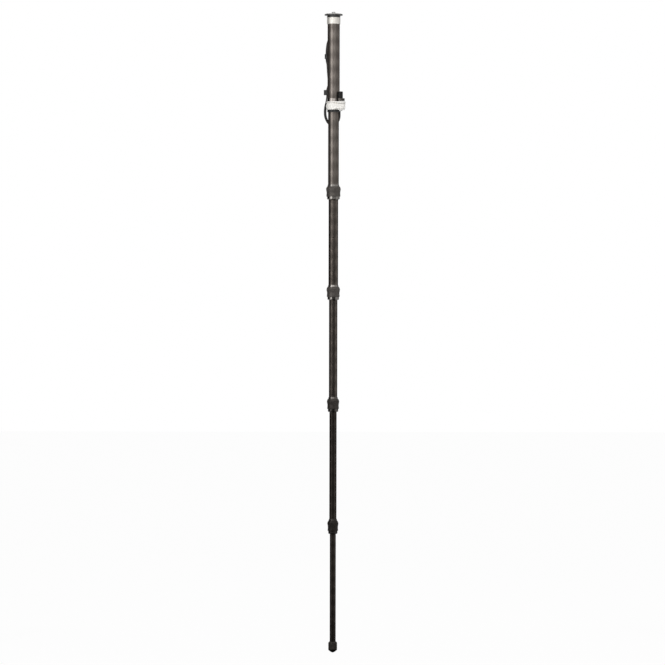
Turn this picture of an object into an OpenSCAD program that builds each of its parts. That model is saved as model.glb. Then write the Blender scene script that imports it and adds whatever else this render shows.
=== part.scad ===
// Camera monopod with six nested tubes, a lever clamp, four twist locks and a wrist strap.
// Millimetres. The origin is the centre of the camera plate's top face, +Z points up,
// the clamp lever lies at the front (-Y) and the strap hangs at the back (+Y).

/* [Camera plate] */
// Diameter of the camera plate
plate_d = 47.2; // [42:0.1:60]
// Thickness of the plate's straight rim
plate_rim_t = 3.6; // [1.5:0.1:4]
// Height of the bevel under the rim
plate_bevel_h = 1.6; // [1:0.1:3]
// Height of the plate with its neck
plate_h = 9.4; // [8.5:0.1:14]
// Thickness of the grip pad
pad_t = 1.4; // [1:0.1:2]
// How far the pad stands above the rim
pad_proud = 0.4; // [0.2:0.1:0.8]
// Diameter of the camera screw's upper end
stud_d = 9.525; // [6.35, 9.525]
// Length of the camera screw above the plate
stud_len = 5; // [4:0.5:9]
// Diameter of the camera screw's lower end
stud_tail_d = 6.35; // [5:0.05:8]

/* [Upper section] */
// Diameter of the bright top ring
ring_d = 34.9; // [33.6:0.1:40]
// Height of the bright top ring
ring_h = 17.4; // [12:0.1:24]
// Outer diameter of the upper tube
upper_tube_d = 31.7; // [28:0.1:33]
// Wall of the upper tube
upper_tube_wall = 1.4; // [1.2:0.1:2]
// Length of the upper tube that shows
upper_tube_shown = 193.7; // [150:0.1:260]
// Depth of the plug in the upper tube
plug_h = 17; // [14:0.5:22]

/* [Sliding tubes] */
// Wall of the sliding tubes
tube_wall = 1.1; // [0.9:0.1:1.3]
// Space between a tube and the bore round it
nesting_gap = 0.45; // [0.35:0.05:0.6]
// Length of the guide shims on each sliding tube
shim_len = 24; // [18:1:28]
// Length of the second tube that shows
tube_2_shown = 188; // [150:1:240]
// Length of the third tube that shows
tube_3_shown = 222; // [170:1:280]
// Length of the fourth tube that shows
tube_4_shown = 252; // [190:1:300]
// Length of the fifth tube that shows
tube_5_shown = 278; // [200:1:320]
// Length of the sixth tube that shows
tube_6_shown = 280; // [200:1:340]

/* [Lever clamp] */
// Height of the dark ferrule above the clamp
ferrule_h = 8; // [7:0.5:14]
// Wall of the dark ferrule
ferrule_wall = 1.5; // [1.2:0.1:2.5]
// Height of the bright clamp band
band_h = 21.2; // [20:0.1:30]
// Wall of the clamp band
band_wall = 2; // [1.6:0.1:2.8]
// Thickness of the lower ear that carries the lever
ear_t = 2.5; // [2:0.1:3.5]
// Height of the dark lip under the clamp
lip_h = 6; // [4:0.5:10]
// Length of the split liner
liner_h = 10.6; // [8:0.1:14]
// Thickness of the lever's finger paddle
lever_t = 4.4; // [3:0.1:6]
// Angle round the tube at which the paddle ends
lever_tip_angle = -148; // [-160:1:-120]
// Radius of the lever's heel round its pivot
heel_r = 12.2; // [10:0.1:12.5]
// Diameter of the pivot bolt
pivot_d = 5; // [4:0.1:6]
// Diameter of the thumb nut
nut_d = 12.2; // [10:0.1:14]
// Height of the thumb nut
nut_h = 17.5; // [12:0.5:22]

/* [Twist locks] */
// Height of a twist lock
lock_h = 39; // [36:0.5:48]
// How far a twist lock stands out from the tube above it
lock_wall = 5.05; // [4.6:0.05:6]
// Number of flutes round a rubber grip
flute_count = 20; // [12:1:24]
// Depth of a flute
flute_depth = 0.65; // [0.3:0.05:0.9]

/* [Foot] */
// Diameter of the rubber foot
foot_d = 22.8; // [20:0.1:30]
// Height of the rubber foot
foot_h = 28.5; // [24:0.5:40]
// Height of the foot's pointed end
foot_tip_h = 7.1; // [4:0.1:9]

/* [Wrist strap] */
// Diameter of the strap's cord
strap_d = 6; // [5:0.1:6]
// Diameter of the bead on the strap
slider_d = 10.6; // [9:0.1:11]
// Length of the bead on the strap
slider_len = 13; // [10:0.5:18]
// Height of the clip that guides the strap
clip_h = 13; // [10:0.5:13]

/* [Hidden] */
$fn = 64;

// Clearances
running = 0.05;
slide_gap = 0.06;
face_gap = 0.3;
moving_gap = 0.4;
split_w = 2;
cut = 1;

// Colours
bare_metal = "gainsboro";
steel = "silver";
dark_metal = "#3a3a3c";
black_plastic = "#1c1c1d";
rubber = "#2a2a2b";
carbon = "#45403c";
webbing = "#202022";

// Radii of tube k, counted from the top
sliding_step = tube_wall + nesting_gap;
upper_r = upper_tube_d / 2;
function wall_of(k) = k == 1 ? upper_tube_wall : tube_wall;
function tube_r(k) = k == 1 ? upper_r : upper_r - upper_tube_wall - nesting_gap - (k - 2) * sliding_step;
function bore_r(k) = tube_r(k) - wall_of(k);

// Heights from the plate down to the clamp
ring_bottom = -plate_h - ring_h;
ferrule_top = ring_bottom - upper_tube_shown;
band_top = ferrule_top - ferrule_h;
band_bottom = band_top - band_h;
clamp_bottom = band_bottom - lip_h;
liner_top = band_bottom + liner_h;
upper_tube_end = liner_top + moving_gap;

// Heights of the twist locks and of the foot
shown = [tube_2_shown, tube_3_shown, tube_4_shown, tube_5_shown, tube_6_shown];
function shown_above(k) = k == 0 ? 0 : shown[k - 1] + shown_above(k - 1);
function lock_top(k) = clamp_bottom - shown_above(k) - (k - 1) * lock_h;
function lock_bottom(k) = lock_top(k) - lock_h;
foot_top = lock_top(5);
foot_bottom = foot_top - foot_h;
foot_stud_r = 3;
foot_stud_h = 6;
foot_plug_h = 18;

// Heights inside a twist lock, from its lower face
cone_h = 4.7;
cone_gap = 0.6;
sleeve_start = 9.5;
tube_seat = 20;
collar_floor = 6.3;
collar_top = lock_h - cone_h - cone_gap;
grip_start = 7.5;
collet_top = tube_seat - moving_gap;
seal_start = 2;
seal_top = 4.4;

// Ends of the sliding tubes
tube_6_socket = 14;
function stop_top(k) = k == 2 ? liner_top : lock_bottom(k - 2) + collet_top;
function shim_bottom(k) = stop_top(k) + face_gap;
function tube_top(k) = shim_bottom(k) + shim_len;
function tube_end(k) = k == 6 ? foot_top - tube_6_socket : lock_bottom(k - 1) + tube_seat;

// Radii inside the lock below tube k + 1
sleeve_wall = 1.2;
grip_wall = 2.4;
seal_wall = 1.9;
taper = 0.5;
function sleeve_r(k) = tube_r(k + 1) + sleeve_wall;
function lock_r(k) = tube_r(k + 1) + lock_wall;
function collar_r(k) = lock_r(k) - grip_wall;
function seal_r(k) = tube_r(k + 2) + seal_wall;

// Plate, plug and stud
neck_step = 0.2;
neck_r = ring_d / 2 - neck_step;
spigot_r = 8;
spigot_h = 12;
stud_seat = 6;
thread_depth = 0.25;
stud_shank_r = stud_d / 2 - thread_depth;
stud_tail = 8;
stud_tail_gap = 0.4;
pad_hub_w = 4;
pad_rim_w = 2;
pad_inner_r = stud_d / 2 + pad_hub_w;
pad_outer_r = plate_d / 2 - pad_rim_w;

// Lever pivot, which stands beside the upper tube
pivot_angle = -36;
pivot_r = upper_r + moving_gap + nut_d / 2;
pivot = pivot_r * [cos(pivot_angle), sin(pivot_angle)];
band_r = upper_r + band_wall;
flange_w = 1.7;
flange_r = band_r + flange_w;
ear_rim = 0.6;
ear_r = heel_r + ear_rim;
lower_ear_r = ear_r - 2;
ferrule_ear_r = ear_r - 1.8;
ferrule_ear_h = 6.5;
paddle_gap = 0.8;
lever_in_r = band_r + paddle_gap;
lever_out_r = lever_in_r + lever_t;
lever_gap = 1;
flange_t = 2.8;
upper_ear_t = 5.2;
lever_top = band_top - flange_t - lever_gap;
heel_top = band_top - upper_ear_t - lever_gap;
lever_bottom = band_bottom + ear_t + face_gap;
cam_offset = 0.5;
cam_r = pivot_r - upper_r - cam_offset - face_gap;
bolt_head_h = 3;
bolt_head_rim = 2.2;
bolt_head_r = pivot_d / 2 + bolt_head_rim;
nut_cap = 2;
bolt_end_gap = 1;

// Lugs that hold the strap's ends
lug_w = 10;
lug_out = strap_d / 2 + 2;
upper_lug_drop = 3;
lower_lug_drop = 0.5;

// Strap route from the upper eye to the bead, with heights from the top of the bright ring
upper_route = [
    [0, 21.5, -15], [0, 21.5, -25], [-2.5, 21, -35], [-7, 19.5, -45], [-11.5, 17.5, -55],
    [-14.8, 15, -64], [-16.5, 13.5, -73], [-17.6, 12.5, -83], [-18, 12.2, -92], [-18, 12.2, -100.5],
    [-18, 12.2, -108], [-17.2, 12.9, -113.5], [-15.7, 14.2, -121]
];
bead_point = 9;

// Strap route through the clip, round behind the second tube and up to the lower eye,
// with heights from the top of the ferrule
lower_route = [
    [-12.2, 17, 42.5], [-12.8, 16.6, 36], [-14.6, 15.2, 29.8], [-16, 14, 23.8], [-16, 14, 16.8],
    [-16, 14, 7.5], [-17.6, 14.6, -4.5], [-19.4, 13.6, -13], [-21.2, 12, -22], [-21.8, 11, -31],
    [-21.8, 11, -39], [-20.6, 12.4, -47.1], [-18, 14.8, -54], [-14.5, 18.2, -59.8],
    [-9.5, 21.3, -64.3], [-3.5, 23.2, -66], [2.5, 23.2, -65.2], [8, 22, -61.5], [12.2, 19.8, -55.5],
    [14.5, 18.2, -48.5], [15, 17.8, -41], [15, 17.8, -33], [15, 17.8, -25], [15, 17.8, -16.5],
    [15, 17.8, -7.5]
];
clip_point = 4;

// Straight run between the two, with a ring at each quarter
upper_points = [for (p = upper_route) p - [0, 0, plate_h]];
lower_points = [for (p = lower_route) p + [0, 0, ferrule_top]];
run_start = upper_points[len(upper_points) - 1];
run_end = lower_points[0];
strap_run = [for (t = [0.25, 0.5, 0.75]) (1 - t) * run_start + t * run_end];
strap_route = concat(upper_points, strap_run, lower_points);
strap_sides = 10;
strap_start = strap_route[0];
strap_finish = strap_route[len(strap_route) - 1];
slider_at = upper_points[bead_point];
clip_at = lower_points[clip_point];
clip_left = -25.4;
clip_half_w = 6;

// Ring of material between two radii, from z0 up to z1
module sleeve(r_in, r_out, z0, z1) {
    rotate_extrude()
        polygon([[r_in, z0], [r_out, z0], [r_out, z1], [r_in, z1]]);
}

// Slit along Z through one side of a sleeve, so that it can close on a tube
module slit(r, z0, z1, angle) {
    rotate(angle)
        translate([0, -split_w / 2, z0 - cut])
            cube([r + cut, split_w, z1 - z0 + 2 * cut]);
}

module at_pivot(z) {
    translate([pivot[0], pivot[1], z])
        children();
}

// Flat web in front of the notch between a ring on the tube and a boss on the pivot,
// set a little inside the line that touches both
module bridge(ring_r, boss_r) {
    inset = 0.3;
    face_angle = pivot_angle - acos((ring_r - boss_r) / pivot_r);
    face = [cos(face_angle), sin(face_angle)];
    polygon([(ring_r - inset) * face, pivot + (boss_r - inset) * face, pivot]);
}

// Plate, pad and camera screw
module camera_plate() {
    rim_top = -pad_proud;
    rim_bottom = rim_top - plate_rim_t;
    edge = 1;
    color(black_plastic)
    difference() {
        rotate_extrude()
            polygon([
                [0, rim_top], [plate_d / 2 - edge, rim_top], [plate_d / 2, rim_top - edge],
                [plate_d / 2, rim_bottom], [neck_r, rim_bottom - plate_bevel_h], [neck_r, -plate_h],
                [spigot_r, -plate_h], [spigot_r, -plate_h - spigot_h], [0, -plate_h - spigot_h]
            ]);
        sleeve(pad_inner_r, pad_outer_r, -pad_t, cut);
        translate([0, 0, -stud_seat])
            cylinder(r = stud_shank_r, h = stud_seat + cut);
        translate([0, 0, -plate_h - spigot_h - cut])
            cylinder(r = stud_tail_d / 2 + stud_tail_gap, h = plate_h + spigot_h);
    }
}

module plate_pad() {
    color(rubber)
    sleeve(pad_inner_r, pad_outer_r, -pad_t, 0);
}

module camera_stud() {
    tip = 0.6;
    slot_w = 1.4;
    slot_depth = 1.5;
    color(steel)
    difference() {
        rotate_extrude()
            polygon([
                [0, -stud_seat - stud_tail], [stud_tail_d / 2 - tip, -stud_seat - stud_tail],
                [stud_tail_d / 2, -stud_seat - stud_tail + tip], [stud_tail_d / 2, -stud_seat],
                [stud_shank_r, -stud_seat], [stud_shank_r, 0], [stud_d / 2, 0],
                [stud_d / 2, stud_len - tip], [stud_d / 2 - tip, stud_len], [0, stud_len]
            ]);
        translate([-stud_d, -slot_w / 2, stud_len - slot_depth])
            cube([2 * stud_d, slot_w, slot_depth + cut]);
    }
}

module top_ring() {
    edge = 0.6;
    color(bare_metal)
    rotate_extrude()
        polygon([
            [upper_r, ring_bottom], [ring_d / 2 - edge, ring_bottom], [ring_d / 2, ring_bottom + edge],
            [ring_d / 2, -plate_h - edge], [ring_d / 2 - edge, -plate_h], [upper_r, -plate_h]
        ]);
}

module top_plug() {
    color(dark_metal)
    sleeve(spigot_r, bore_r(1), -plate_h - plug_h, -plate_h);
}

module upper_tube() {
    color(carbon)
    sleeve(bore_r(1), upper_r, upper_tube_end, -plate_h);
}

// Wrist strap and what holds it
// Lug on a round seat, whose lower face takes the end of the cord
module strap_lug(end, seat_r, z_top) {
    reach = norm([end[0], end[1]]) + lug_out;
    color(black_plastic)
    rotate(atan2(end[1], end[0]))
        difference() {
            translate([0, 0, end[2]])
                linear_extrude(z_top - end[2])
                    union() {
                        translate([0, -lug_w / 2])
                            square([reach - lug_w / 2, lug_w]);
                        translate([reach - lug_w / 2, 0])
                            circle(d = lug_w);
                    }
            translate([0, 0, end[2] - cut])
                cylinder(r = seat_r, h = z_top - end[2] + 2 * cut);
        }
}

module strap_eye_upper() {
    strap_lug(strap_start, ring_d / 2, -plate_h - upper_lug_drop);
}

module strap_eye_lower() {
    strap_lug(strap_finish, upper_r + ferrule_wall, ferrule_top - lower_lug_drop);
}

function unit(v) = v / norm(v);

// Direction of the route at point i
function route_dir(i) = unit(strap_route[min(i + 1, len(strap_route) - 1)] - strap_route[max(i - 1, 0)]);

// Round section at point i, square to the route
function route_ring(i) =
    let (t = i == 0 || i == len(strap_route) - 1 ? unit([0, 0, route_dir(i)[2]]) : route_dir(i))
    let (n = unit([0, 1, 0] - t[1] * t))
    let (b = cross(t, n))
    [for (s = [0 : strap_sides - 1])
        strap_route[i] + strap_d / 2 * (cos(360 * s / strap_sides) * n + sin(360 * s / strap_sides) * b)];

module wrist_strap() {
    last = len(strap_route) - 1;
    points = [for (i = [0 : last]) each route_ring(i)];
    sides = [for (i = [0 : last - 1], s = [0 : strap_sides - 1])
        let (a = i * strap_sides + s)
        let (b = i * strap_sides + (s + 1) % strap_sides)
        each [[a, a + strap_sides, b], [b, a + strap_sides, b + strap_sides]]];
    first_cap = [for (s = [1 : strap_sides - 2]) [0, s, s + 1]];
    end_cap = [for (s = [1 : strap_sides - 2]) last * strap_sides * [1, 1, 1] + [0, s + 1, s]];
    color(webbing)
    polyhedron(points, concat(sides, first_cap, end_cap));
}

module strap_slider() {
    bore = strap_d / 2 + 0.15;
    belly = slider_d / 2;
    round_over = 1.2;
    color(black_plastic)
    translate(slider_at)
        difference() {
            intersection() {
                cylinder(r = belly, h = slider_len, center = true);
                sphere(r = slider_len / 2 + round_over);
            }
            cylinder(r = bore, h = slider_len + cut, center = true);
        }
}

module strap_clip() {
    z0 = clip_at[2] - clip_h / 2;
    bore = strap_d / 2 + 0.3;
    color(black_plastic)
    difference() {
        translate([clip_left, clip_at[1] - clip_half_w, z0])
            cube([clip_at[0] - clip_left + clip_half_w, 2 * clip_half_w, clip_h]);
        translate([0, 0, z0 - cut])
            cylinder(r = upper_r, h = clip_h + 2 * cut);
        translate([clip_at[0], clip_at[1], z0 - cut])
            cylinder(r = bore, h = clip_h + 2 * cut);
    }
}

// Lever clamp
module clamp_ferrule() {
    color(dark_metal)
    difference() {
        union() {
            translate([0, 0, band_top])
                cylinder(r = upper_r + ferrule_wall, h = ferrule_h);
            at_pivot(ferrule_top - ferrule_ear_h)
                cylinder(r = ferrule_ear_r, h = ferrule_ear_h);
        }
        translate([0, 0, band_top - cut])
            cylinder(r = upper_r, h = ferrule_h + 2 * cut);
        at_pivot(band_top - cut)
            cylinder(d = pivot_d, h = ferrule_h + 2 * cut);
    }
}

module clamp_band() {
    color(bare_metal)
    difference() {
        union() {
            translate([0, 0, band_bottom])
                cylinder(r = band_r, h = band_h);
            translate([0, 0, band_top - flange_t])
                cylinder(r = flange_r, h = flange_t);
            translate([0, 0, band_top - flange_t])
                linear_extrude(flange_t)
                    bridge(flange_r, ear_r);
            at_pivot(band_top - upper_ear_t)
                cylinder(r = ear_r, h = upper_ear_t);
            at_pivot(band_bottom)
                cylinder(r = lower_ear_r, h = ear_t);
        }
        translate([0, 0, band_bottom - cut])
            cylinder(r = upper_r, h = band_h + 2 * cut);
        at_pivot(band_bottom + ear_t)
            cylinder(r = cam_r + cam_offset + moving_gap, h = band_h - ear_t - upper_ear_t);
        at_pivot(band_bottom - cut)
            cylinder(d = pivot_d, h = band_h + 2 * cut);
    }
}

module clamp_liner() {
    color(black_plastic)
    difference() {
        sleeve(tube_r(2) + slide_gap, upper_r, band_bottom, liner_top);
        slit(upper_r, band_bottom, liner_top, 90);
    }
}

module clamp_lip() {
    edge = 1;
    overhang = 0.4;
    r_out = upper_r + overhang;
    color(black_plastic)
    rotate_extrude()
        polygon([
            [tube_r(2) + face_gap, clamp_bottom], [r_out - edge, clamp_bottom], [r_out, clamp_bottom + edge],
            [r_out, band_bottom], [tube_r(2) + face_gap, band_bottom]
        ]);
}

module pivot_bolt() {
    bolt_top = ferrule_top + nut_h - nut_cap - bolt_end_gap;
    socket_d = 3.5;
    color(steel)
    difference() {
        union() {
            at_pivot(band_bottom - bolt_head_h)
                cylinder(r = bolt_head_r, h = bolt_head_h);
            at_pivot(band_bottom)
                cylinder(d = pivot_d, h = bolt_top - band_bottom);
        }
        at_pivot(band_bottom - bolt_head_h - cut)
            cylinder(d = socket_d, h = bolt_head_h, $fn = 6);
    }
}

// Lever seen from above: paddle round the tube, heel and cam round the pivot
module lever_plan() {
    heel_from = -130;
    heel_to = -5;
    rib_from = -85;
    rib_to = -37;
    rib_step = 16;
    rib_r = 1.1;
    rib_depth = 0.6;
    difference() {
        union() {
            intersection() {
                difference() {
                    circle(r = lever_out_r);
                    circle(r = lever_in_r);
                }
                wedge(lever_tip_angle, pivot_angle, 2 * lever_out_r);
            }
            translate(pivot)
                intersection() {
                    circle(r = heel_r);
                    wedge(heel_from, heel_to, 2 * heel_r);
                }
            translate(pivot - cam_offset * unit(pivot))
                circle(r = cam_r);
            bridge(lever_out_r, heel_r);
        }
        translate(pivot)
            circle(r = pivot_d / 2 + running);
        translate(pivot)
            for (a = [rib_from : rib_step : rib_to])
                rotate(a)
                    translate([heel_r + rib_r - rib_depth, 0])
                        circle(r = rib_r);
    }
}

// Triangle fan between two angles less than a half turn apart
module wedge(from, to, r) {
    mid = (from + to) / 2;
    polygon([
        [0, 0], r * [cos(from), sin(from)], r * [cos(mid), sin(mid)], r * [cos(to), sin(to)]
    ]);
}

// Value that leaves a and reaches b level, at share t of the way
function ease(a, b, t) = a + (b - a) * (1 - cos(180 * t)) / 2;

// Lever seen from the front: blunt round tip, arched top, full belly, straight heel
module lever_front() {
    tip_w = 5;
    tip_drop = 1;
    tip_rise = 1;
    crest_back = 9;
    belly_drop = 2.4;
    belly_power = 6;
    tip_top = lever_top - tip_drop;
    tip_bottom = lever_bottom - tip_rise;
    tip_x = lever_out_r * cos(lever_tip_angle) + tip_w;
    tip_z = (tip_top + tip_bottom) / 2;
    tip_h = (tip_top - tip_bottom) / 2;
    crest_x = tip_x + crest_back;
    heel_x = pivot[0] - ear_r - face_gap;
    heel_end = pivot[0] + ear_r;
    fall = [for (t = [0 : 0.1 : 1]) [heel_x + t * (crest_x - heel_x), ease(heel_top, lever_top, t)]];
    rise = [for (t = [0.2 : 0.2 : 0.8]) [crest_x + t * (tip_x - crest_x), ease(lever_top, tip_top, t)]];
    tip = [for (a = [90 : 10 : 270]) [tip_x + tip_w * cos(a), tip_z + tip_h * sin(a)]];
    belly = [for (t = [0.1 : 0.1 : 0.9])
        [tip_x + t * (heel_x - tip_x),
         (1 - t) * tip_bottom + t * lever_bottom - belly_drop * (1 - pow(2 * t - 1, belly_power))]];
    polygon(concat(
        [[heel_end, heel_top]], fall, rise, tip, belly, [[heel_x, lever_bottom], [heel_end, lever_bottom]]
    ));
}

module clamp_lever() {
    depth = 2 * lever_out_r + 2 * ear_r;
    color(bare_metal)
    intersection() {
        translate([0, 0, band_bottom])
            linear_extrude(band_h)
                lever_plan();
        translate([0, depth / 2, 0])
            rotate([90, 0, 0])
                linear_extrude(depth)
                    lever_front();
    }
}

module thumb_nut() {
    groove_count = 14;
    groove_r = 0.9;
    groove_depth = 0.5;
    edge = 0.8;
    z0 = ferrule_top + face_gap;
    color(black_plastic)
    at_pivot(z0)
        difference() {
            rotate_extrude()
                polygon([
                    [0, 0], [nut_d / 2 - edge, 0], [nut_d / 2, edge], [nut_d / 2, nut_h - edge],
                    [nut_d / 2 - edge, nut_h], [0, nut_h]
                ]);
            translate([0, 0, -cut])
                cylinder(r = pivot_d / 2 + running, h = nut_h - nut_cap + cut);
            for (i = [0 : groove_count - 1])
                rotate(360 * i / groove_count)
                    translate([nut_d / 2 + groove_r - groove_depth, 0, -cut])
                        cylinder(r = groove_r, h = nut_h + 2 * cut);
        }
}

// Sliding tubes
module tube(k) {
    color(carbon)
    sleeve(bore_r(k), tube_r(k), tube_end(k), tube_top(k));
}

// Two half shells that centre tube k in the bore above it
module guide_shims(k) {
    r_out = bore_r(k - 1) - running;
    color(black_plastic)
    difference() {
        sleeve(tube_r(k), r_out, shim_bottom(k), tube_top(k));
        slit(r_out, shim_bottom(k), tube_top(k), 0);
        slit(r_out, shim_bottom(k), tube_top(k), 180);
    }
}

// Twist lock k, on the lower end of tube k + 1
module lock_ferrule(k) {
    r = tube_r(k + 1);
    z0 = lock_bottom(k);
    cone_bottom = lock_h - cone_h;
    cone_edge = 0.7;
    cone_spread = 2;
    collet_gap = 0.05;
    color(dark_metal)
    translate([0, 0, z0])
        rotate_extrude()
            polygon([
                [r, lock_h], [r + cone_edge, lock_h], [r + cone_spread, cone_bottom],
                [sleeve_r(k), cone_bottom], [sleeve_r(k), sleeve_start],
                [r + taper + collet_gap, sleeve_start], [r - taper + collet_gap, tube_seat], [r, tube_seat]
            ]);
}

module lock_collet(k) {
    r = tube_r(k + 1);
    r_in = tube_r(k + 2) + slide_gap;
    z0 = lock_bottom(k);
    flange_bottom = collar_floor + face_gap;
    flange_top = sleeve_start - face_gap;
    flange_r = sleeve_r(k) - 0.2;
    color(black_plastic)
    difference() {
        translate([0, 0, z0])
            rotate_extrude()
                polygon([
                    [r_in, flange_bottom], [flange_r, flange_bottom], [flange_r, flange_top],
                    [r + taper, flange_top], [r - taper, collet_top], [r_in, collet_top]
                ]);
        slit(lock_r(k), z0, z0 + lock_h, 90);
    }
}

module lock_collar(k) {
    edge = 1.5;
    r_in = tube_r(k + 2) + face_gap;
    r_out = collar_r(k);
    r_thread = sleeve_r(k) + running;
    groove_r = seal_r(k);
    color(dark_metal)
    translate([0, 0, lock_bottom(k)])
        rotate_extrude()
            polygon([
                [r_in, 0], [r_out - edge, 0], [r_out, edge], [r_out, collar_top], [r_thread, collar_top],
                [r_thread, collar_floor], [r_in, collar_floor], [r_in, seal_top], [groove_r, seal_top],
                [groove_r, seal_start], [r_in, seal_start]
            ]);
}

// Dust ring in the collar's floor
module lock_seal(k) {
    color(rubber)
    translate([0, 0, lock_bottom(k)])
        sleeve(tube_r(k + 2) + slide_gap, seal_r(k), seal_start, seal_top);
}

// Rubber sleeve with a fat upper band, a hollow waist and a lower lip
module lock_grip(k) {
    r = lock_r(k);
    lip = 0.85;
    lip_edge = 0.6;
    waist = 1.25;
    waist_z = 16.5;
    waist_r = 30;
    shoulder = 2;
    shoulder_h = 5.2;
    crown_z = collar_top - shoulder_h;
    flute_r = 1.4;
    color(rubber)
    translate([0, 0, lock_bottom(k)])
        difference() {
            rotate_extrude()
                difference() {
                    polygon([
                        [collar_r(k), grip_start], [r - lip - lip_edge, grip_start],
                        [r - lip, grip_start + 1], [r - lip, waist_z - 1], [r, waist_z], [r, crown_z],
                        [r - shoulder, collar_top], [collar_r(k), collar_top]
                    ]);
                    translate([r - waist + waist_r, waist_z])
                        circle(r = waist_r, $fn = 180);
                }
            for (i = [0 : flute_count - 1])
                rotate(360 * i / flute_count)
                    translate([r + flute_r - flute_depth, 0, grip_start - cut])
                        cylinder(r = flute_r, h = lock_h);
        }
}

// Foot
module foot_plug() {
    color(dark_metal)
    union() {
        translate([0, 0, tube_end(6)])
            cylinder(r = bore_r(6), h = foot_plug_h);
        translate([0, 0, tube_end(6) - foot_stud_h])
            cylinder(r = foot_stud_r, h = foot_stud_h);
    }
}

module foot_rubber() {
    r = foot_d / 2;
    chamfer_w = 2.2;
    chamfer_h = 3;
    tip_top = foot_bottom + foot_tip_h;
    nose_power = 1.55;
    nose = [for (t = [0 : 0.1 : 0.9]) [r * t, foot_bottom + foot_tip_h * pow(t, nose_power)]];
    color(rubber)
    difference() {
        rotate_extrude()
            polygon(concat(nose, [
                [r, tip_top], [r, foot_top - chamfer_h], [r - chamfer_w, foot_top], [0, foot_top]
            ]));
        translate([0, 0, tube_end(6)])
            cylinder(r = tube_r(6), h = foot_h);
        translate([0, 0, tube_end(6) - foot_stud_h])
            cylinder(r = foot_stud_r, h = foot_h);
    }
}

camera_plate();
plate_pad();
camera_stud();
top_ring();
top_plug();
upper_tube();
strap_eye_upper();
wrist_strap();
strap_slider();
strap_clip();
strap_eye_lower();
clamp_ferrule();
clamp_band();
clamp_liner();
clamp_lip();
pivot_bolt();
clamp_lever();
thumb_nut();
for (k = [2 : 6]) {
    tube(k);
    guide_shims(k);
}
for (k = [1 : 4]) {
    lock_ferrule(k);
    lock_collet(k);
    lock_collar(k);
    lock_grip(k);
    lock_seal(k);
}
foot_plug();
foot_rubber();
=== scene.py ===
import math

import bpy
import numpy as np
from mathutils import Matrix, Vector


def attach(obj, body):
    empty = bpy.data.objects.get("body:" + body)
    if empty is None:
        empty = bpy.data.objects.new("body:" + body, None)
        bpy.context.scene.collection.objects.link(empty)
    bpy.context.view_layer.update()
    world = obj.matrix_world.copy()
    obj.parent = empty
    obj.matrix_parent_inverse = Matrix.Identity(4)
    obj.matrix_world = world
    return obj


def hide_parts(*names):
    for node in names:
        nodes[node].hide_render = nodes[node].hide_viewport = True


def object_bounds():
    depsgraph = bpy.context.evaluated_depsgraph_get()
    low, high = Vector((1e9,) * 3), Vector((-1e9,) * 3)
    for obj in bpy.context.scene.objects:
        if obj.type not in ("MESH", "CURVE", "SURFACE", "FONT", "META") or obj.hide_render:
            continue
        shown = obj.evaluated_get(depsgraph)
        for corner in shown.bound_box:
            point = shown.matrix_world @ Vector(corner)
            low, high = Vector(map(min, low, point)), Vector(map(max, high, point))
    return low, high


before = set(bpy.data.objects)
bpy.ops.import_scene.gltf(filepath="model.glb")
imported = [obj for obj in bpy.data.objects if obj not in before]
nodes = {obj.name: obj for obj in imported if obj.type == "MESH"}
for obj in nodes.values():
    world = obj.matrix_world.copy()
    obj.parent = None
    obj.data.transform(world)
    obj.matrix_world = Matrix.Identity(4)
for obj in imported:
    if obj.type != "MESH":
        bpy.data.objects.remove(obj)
cadLow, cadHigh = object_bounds()
scene = bpy.context.scene
fullTurn = 2 * math.pi

# Camera, level with the middle of the pole and far off with a long lens
viewPlan = {
    "distance": 9.0,         # metres from the pole
    "pictureHeight": 1.729,  # metres at the pole that fill the picture
    "middle": -0.8283,       # height of the picture's middle
    "poleOffset": 0.00175,   # pole stands this far right of the middle
    "roll": -0.094,          # degrees
    "sensor": 36.0,          # millimetres
    "clipEnd": 200.0,        # metres
}


def makeCamera(plan):
    lens = bpy.data.cameras.new("poleCamera")
    lens.sensor_width = plan["sensor"]
    lens.lens = plan["sensor"] * plan["distance"] / plan["pictureHeight"]
    lens.clip_end = plan["clipEnd"]
    camera = bpy.data.objects.new("poleCamera", lens)
    scene.collection.objects.link(camera)
    camera.location = (-plan["poleOffset"], -plan["distance"], plan["middle"])
    camera.rotation_euler = (math.radians(90), math.radians(plan["roll"]), 0)
    scene.camera = camera


makeCamera(viewPlan)
print("camera: set")


# Mesh helpers
def meshObject(name, points, faces):
    mesh = bpy.data.meshes.new(name)
    mesh.from_pydata(points.reshape(-1, 3).tolist(), [], faces)
    mesh.polygons.foreach_set("use_smooth", np.ones(len(mesh.polygons), dtype=bool))
    mesh.update()
    piece = bpy.data.objects.new(name, mesh)
    scene.collection.objects.link(piece)
    return piece


# Faces of a grid of rings, closed round each ring, with a fan on the two ends:
# a quad joins a ring to the next ring between a column and the next column
def ringFaces(rings, sides):
    ring, column = np.meshgrid(np.arange(rings - 1), np.arange(sides), indexing="ij")
    nextColumn = (column + 1) % sides
    here = ring * sides
    above = here + sides
    quads = np.stack([here + column, here + nextColumn, above + nextColumn, above + column], axis=-1)
    around = np.arange(sides)
    beyond = (around + 1) % sides
    firstCentre = rings * sides
    lastRing = (rings - 1) * sides
    firstFan = np.stack([np.full(sides, firstCentre), beyond, around], axis=-1)
    lastFan = np.stack([np.full(sides, firstCentre + 1), lastRing + around, lastRing + beyond], axis=-1)
    return quads.reshape(-1, 4).tolist() + firstFan.tolist() + lastFan.tolist()


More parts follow.
